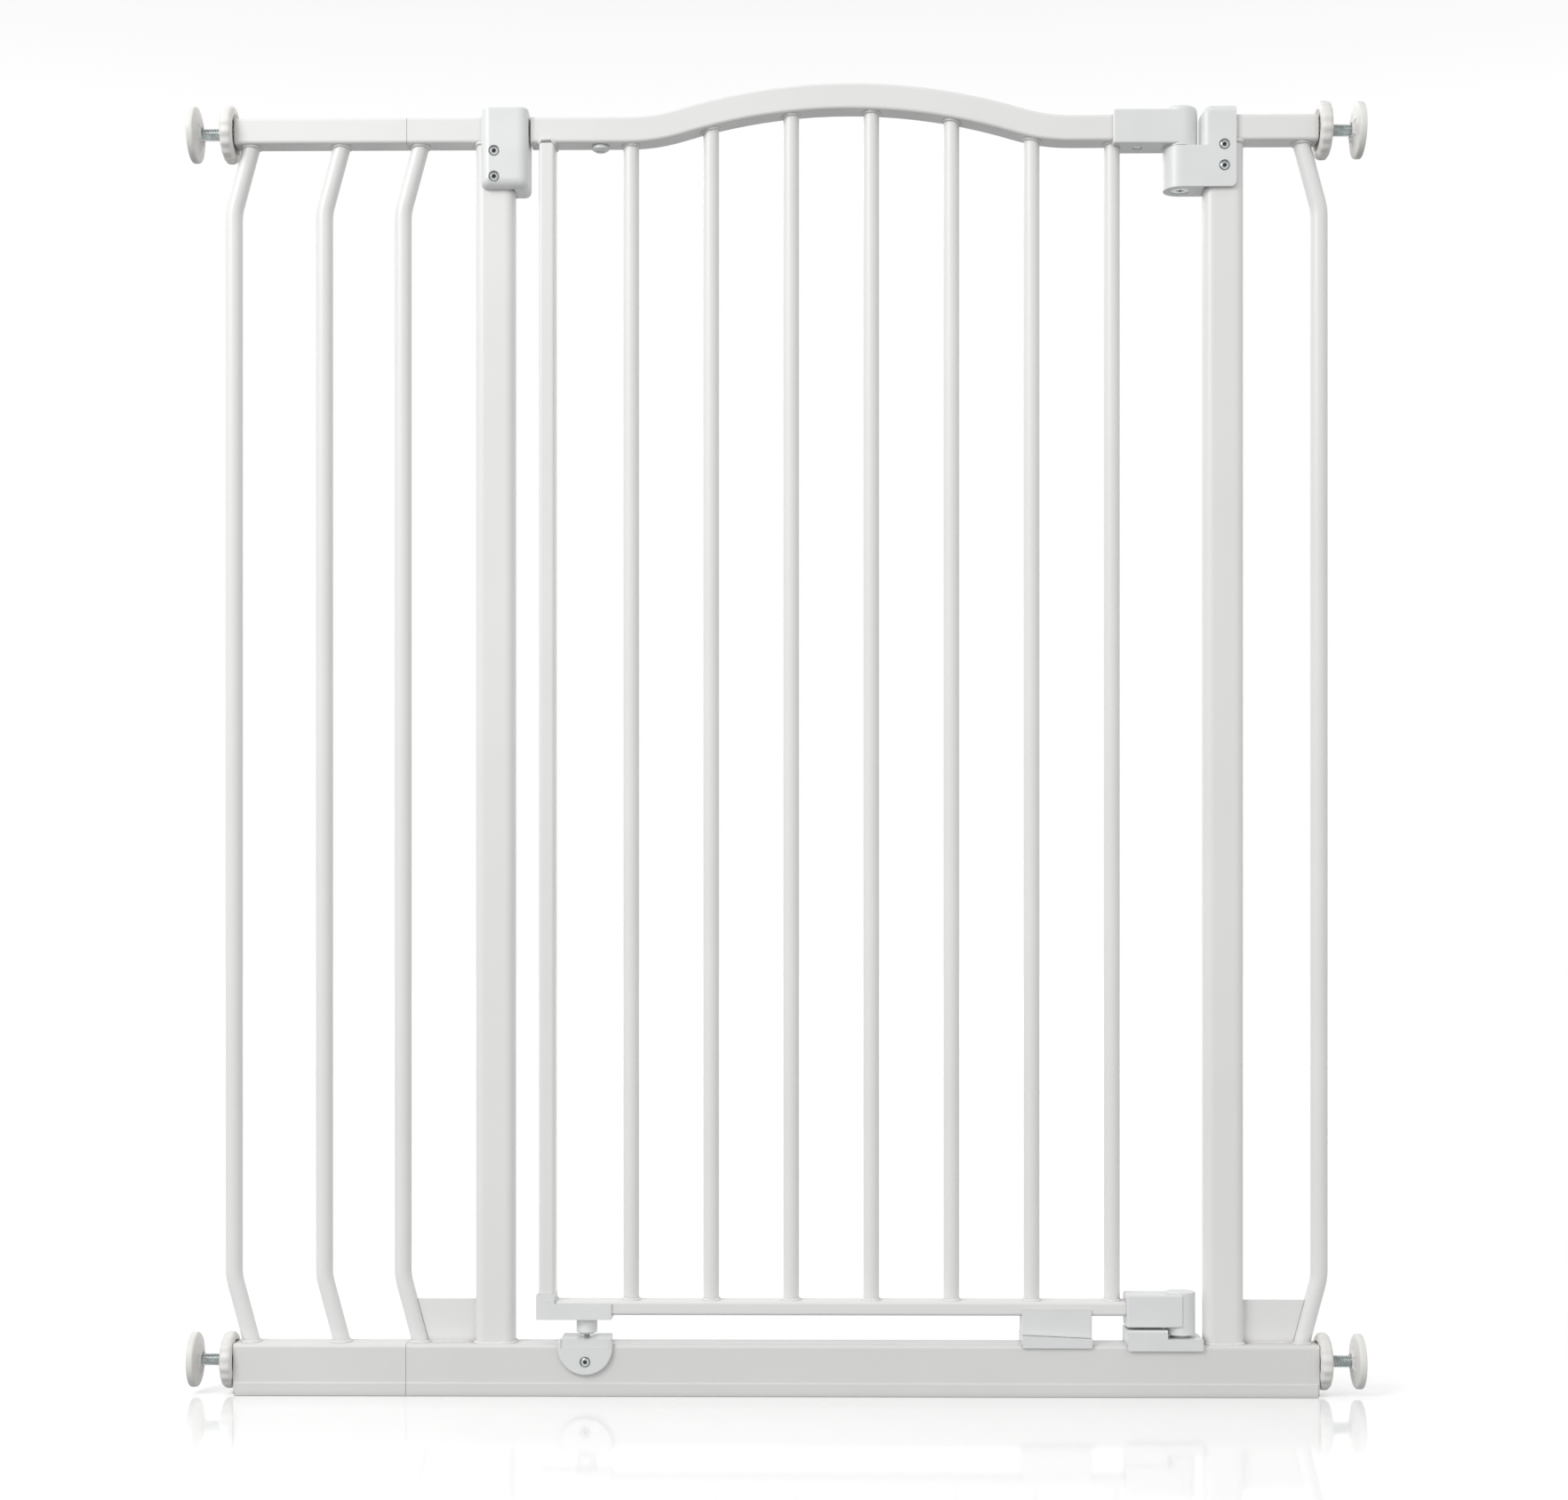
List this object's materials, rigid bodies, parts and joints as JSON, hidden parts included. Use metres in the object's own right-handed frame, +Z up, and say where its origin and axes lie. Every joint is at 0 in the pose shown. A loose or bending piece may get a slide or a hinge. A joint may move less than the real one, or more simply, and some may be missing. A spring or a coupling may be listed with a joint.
{
  "type": "safety gate",
  "caption": "Tall pressure-fit safety gate with an arched swinging panel, bent guard bars, one extension, latch, rising hinges and threaded wall fixings.",
  "frame": {"origin": "on the floor under the middle of the overall width and depth", "axes": "+Z up, +X along the gate towards its hinge side, -Y the front"},
  "size_m": [0.896, 0.0436, 1],
  "materials": {
    "white_paint": "satin powder coat on steel tube",
    "white_plastic": "moulded, slight gloss",
    "plug_plastic": "moulded, matt",
    "zinc_steel": "bright zinc plate",
    "spring_steel": "drawn spring wire",
    "bush_nylon": "natural nylon"
  },
  "bodies": {
    "frame": {"base_rail": "white_paint", "extension_base_rail": "white_paint", "left_top_rail": "white_paint", "right_top_rail": "white_paint", "extension_top_rail": "white_paint", "joiner_sleeves": "zinc_steel", "top_rail_plugs": "plug_plastic", "base_rail_plugs": "plug_plastic", "left_post": "white_paint", "right_post": "white_paint", "outer_extension_bar": "white_paint", "inner_extension_bar": "white_paint", "left_guard_bar": "white_paint", "right_guard_bar": "white_paint", "left_gusset": "white_paint", "right_gusset": "white_paint", "hinge_bracket": "white_plastic", "upper_hinge_pin": "zinc_steel", "hinge_base": "white_plastic", "lower_hinge_pin": "zinc_steel", "strike_housing": "white_plastic", "catch_plate": "white_plastic", "frame_screws": "zinc_steel", "stop_base": "white_plastic"},
    "hinge_bushes": {"hinge_bushes": "bush_nylon"},
    "gate": {"gate_top_rail": "white_paint", "gate_bottom_rail": "white_paint", "gate_stile": "white_paint", "gate_bar_1": "white_paint", "gate_bar_2": "white_paint", "gate_bar_3": "white_paint", "gate_bar_4": "white_paint", "gate_bar_5": "white_paint", "gate_bar_6": "white_paint", "gate_bar_7": "white_paint", "upper_hinge_cap": "white_plastic", "lower_hinge_cap": "white_plastic", "hinge_cap_screw": "zinc_steel", "stop_block": "white_plastic", "corner_cap": "white_plastic", "latch_guide": "white_plastic", "latch_springs": "spring_steel"},
    "latch_bolt": {"latch_bolt": "zinc_steel"},
    "release_button": {"release_button": "white_plastic", "button_link": "zinc_steel"},
    "height_knob": {"height_knob": "white_plastic"},
    "foot_pin": {"foot_pin": "zinc_steel"},
    "top_left_adjuster": {"top_left_adjuster": "white_plastic"},
    "top_left_spindle": {"top_left_spindle": "zinc_steel", "top_left_wall_cup": "white_plastic"},
    "top_right_adjuster": {"top_right_adjuster": "white_plastic"},
    "top_right_spindle": {"top_right_spindle": "zinc_steel", "top_right_wall_cup": "white_plastic"},
    "bottom_left_adjuster": {"bottom_left_adjuster": "white_plastic"},
    "bottom_left_spindle": {"bottom_left_spindle": "zinc_steel", "bottom_left_wall_cup": "white_plastic"},
    "bottom_right_adjuster": {"bottom_right_adjuster": "white_plastic"},
    "bottom_right_spindle": {"bottom_right_spindle": "zinc_steel", "bottom_right_wall_cup": "white_plastic"}
  },
  "joints": [
    {"name": "gate_swing", "type": "hinge", "parent": "frame", "child": "hinge_bushes", "pos_m": [0.3095, 0, 0], "axis": [0, 0, 1], "range_deg": [-90, 90], "stiffness_Nm_per_rad": 0.6},
    {"name": "gate_lift", "type": "slide", "parent": "hinge_bushes", "child": "gate", "axis": [0, 0, 1], "range_m": [0, 0.006]},
    {"name": "bolt_slide", "type": "slide", "parent": "gate", "child": "latch_bolt", "axis": [-1, 0, 0], "range_m": [0, 0.006], "stiffness_N_per_m": 120},
    {"name": "button_press", "type": "slide", "parent": "gate", "child": "release_button", "axis": [0, 0, -1], "range_m": [0, 0.003], "deforming": ["latch_springs"]},
    {"name": "knob_turn", "type": "hinge", "parent": "gate", "child": "height_knob", "pos_m": [-0.1443, 0, 0.05], "axis": [0, 0, 1], "range_deg": [0, 1080]},
    {"name": "foot_pin_slide", "type": "slide", "parent": "gate", "child": "foot_pin", "axis": [0, 0, 1], "range_m": [0, 0.0024]},
    {"name": "top_left_adjuster_turn", "type": "hinge", "parent": "frame", "child": "top_left_adjuster", "pos_m": [-0.42, 0, 0.965], "axis": [-1, 0, 0], "range_deg": [-2520, 4320]},
    {"name": "top_left_spindle_slide", "type": "slide", "parent": "frame", "child": "top_left_spindle", "axis": [-1, 0, 0], "range_m": [-0.0105, 0.018]},
    {"name": "top_right_adjuster_turn", "type": "hinge", "parent": "frame", "child": "top_right_adjuster", "pos_m": [0.42, 0, 0.965], "axis": [1, 0, 0], "range_deg": [-2520, 4320]},
    {"name": "top_right_spindle_slide", "type": "slide", "parent": "frame", "child": "top_right_spindle", "axis": [1, 0, 0], "range_m": [-0.0105, 0.018]},
    {"name": "bottom_left_adjuster_turn", "type": "hinge", "parent": "frame", "child": "bottom_left_adjuster", "pos_m": [-0.42, 0, 0.025], "axis": [-1, 0, 0], "range_deg": [-2520, 4320]},
    {"name": "bottom_left_spindle_slide", "type": "slide", "parent": "frame", "child": "bottom_left_spindle", "axis": [-1, 0, 0], "range_m": [-0.0105, 0.018]},
    {"name": "bottom_right_adjuster_turn", "type": "hinge", "parent": "frame", "child": "bottom_right_adjuster", "pos_m": [0.42, 0, 0.025], "axis": [1, 0, 0], "range_deg": [-2520, 4320]},
    {"name": "bottom_right_spindle_slide", "type": "slide", "parent": "frame", "child": "bottom_right_spindle", "axis": [1, 0, 0], "range_m": [-0.0105, 0.018]}
  ],
  "couplings": [
    {"joint": "button_press", "follows": "bolt_slide", "ratio": 0.5},
    {"joint": "foot_pin_slide", "follows": "knob_turn", "m_per_rad": 0.00012732},
    {"joint": "top_left_spindle_slide", "follows": "top_left_adjuster_turn", "m_per_rad": 0.00023873},
    {"joint": "top_right_spindle_slide", "follows": "top_right_adjuster_turn", "m_per_rad": 0.00023873},
    {"joint": "bottom_left_spindle_slide", "follows": "bottom_left_adjuster_turn", "m_per_rad": 0.00023873},
    {"joint": "bottom_right_spindle_slide", "follows": "bottom_right_adjuster_turn", "m_per_rad": 0.00023873}
  ]
}
